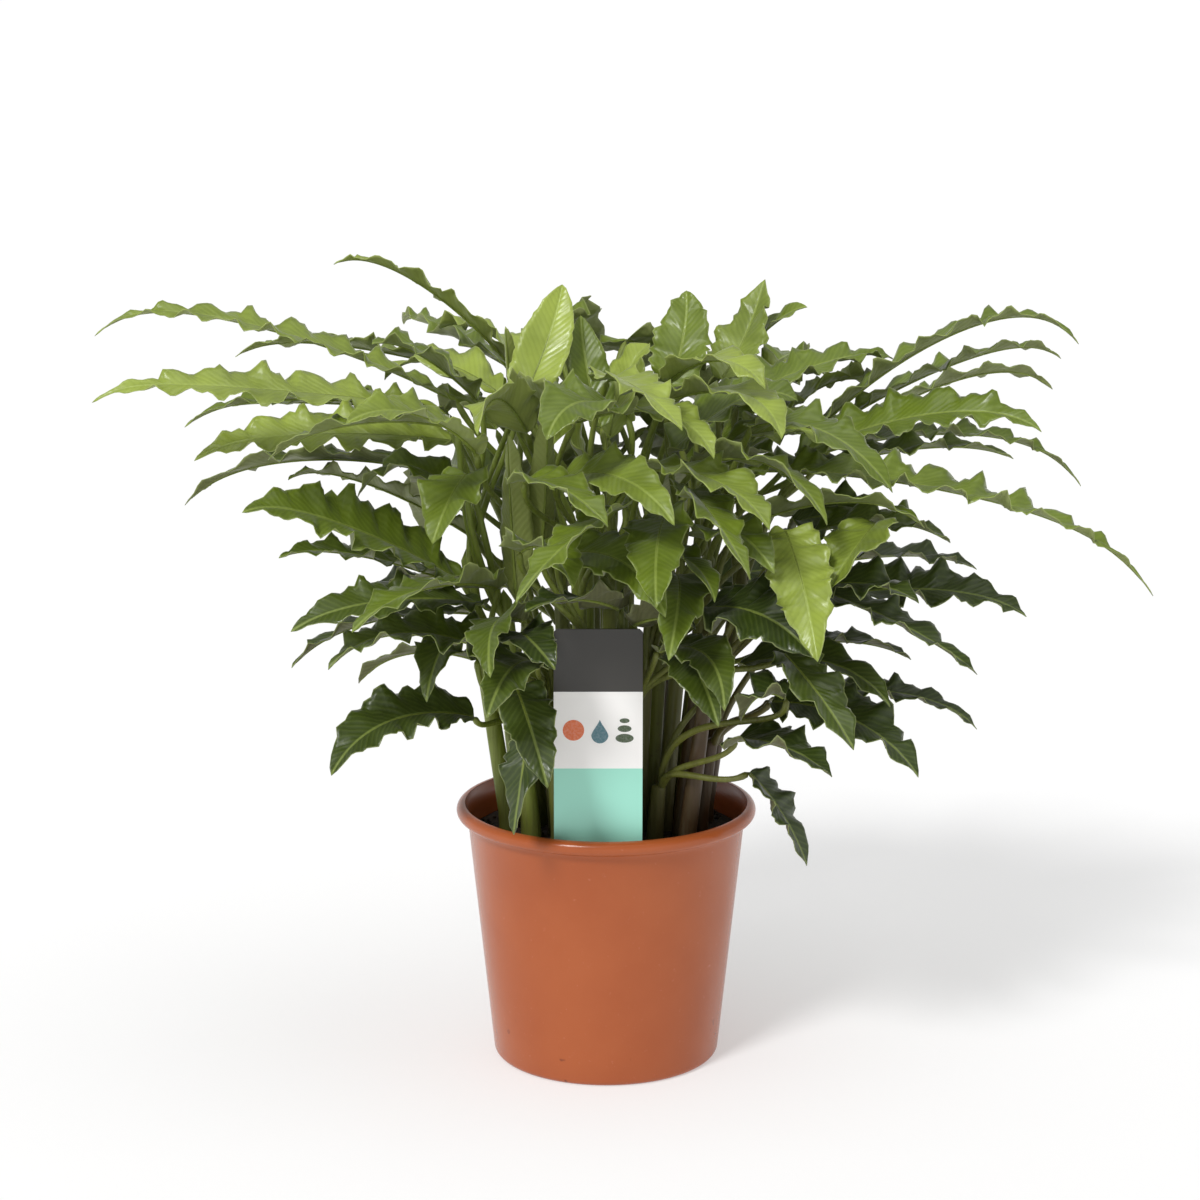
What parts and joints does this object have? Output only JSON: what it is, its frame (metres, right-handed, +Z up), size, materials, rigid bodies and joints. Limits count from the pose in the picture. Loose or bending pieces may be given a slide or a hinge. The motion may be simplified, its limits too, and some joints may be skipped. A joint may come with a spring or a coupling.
{
  "type": "potted blue grass calathea",
  "caption": "Bushy wavy-leaved prayer plant in a terracotta-coloured plastic nursery pot, with soil and a blank plant label; stands on its flat base.",
  "frame": {"origin": "centre of the pot's flat base, on the surface it stands on", "axes": "+Z up the pot's axis, -Y to the front, where the label stands, +X to the right seen from the front"},
  "size_m": [0.633, 0.4618, 0.5107],
  "materials": {
    "pot_plastic": "satin terracotta-coloured injection-moulded plastic",
    "soil": "dark moist potting soil",
    "label_plastic": "printed plastic plate in a dark, a white and a mint band",
    "foliage": "soft satin green leaves with paler young ones, on yellow-green stalks"
  },
  "bodies": {
    "root": {"pot": "pot_plastic", "soil": "soil", "label": "label_plastic", "shoot_01": "foliage", "shoot_02": "foliage", "shoot_03": "foliage", "shoot_04": "foliage", "shoot_05": "foliage", "shoot_06": "foliage", "shoot_07": "foliage", "shoot_08": "foliage", "shoot_09": "foliage", "shoot_10": "foliage", "shoot_11": "foliage", "shoot_12": "foliage", "shoot_13": "foliage", "shoot_14": "foliage", "shoot_15": "foliage", "shoot_16": "foliage", "shoot_17": "foliage", "shoot_18": "foliage", "shoot_19": "foliage", "shoot_20": "foliage", "shoot_21": "foliage", "shoot_22": "foliage", "shoot_23": "foliage", "shoot_24": "foliage", "shoot_25": "foliage", "shoot_26": "foliage", "shoot_27": "foliage", "shoot_28": "foliage", "shoot_29": "foliage", "shoot_30": "foliage", "shoot_31": "foliage", "shoot_32": "foliage", "shoot_33": "foliage"}
  },
  "joints": []
}
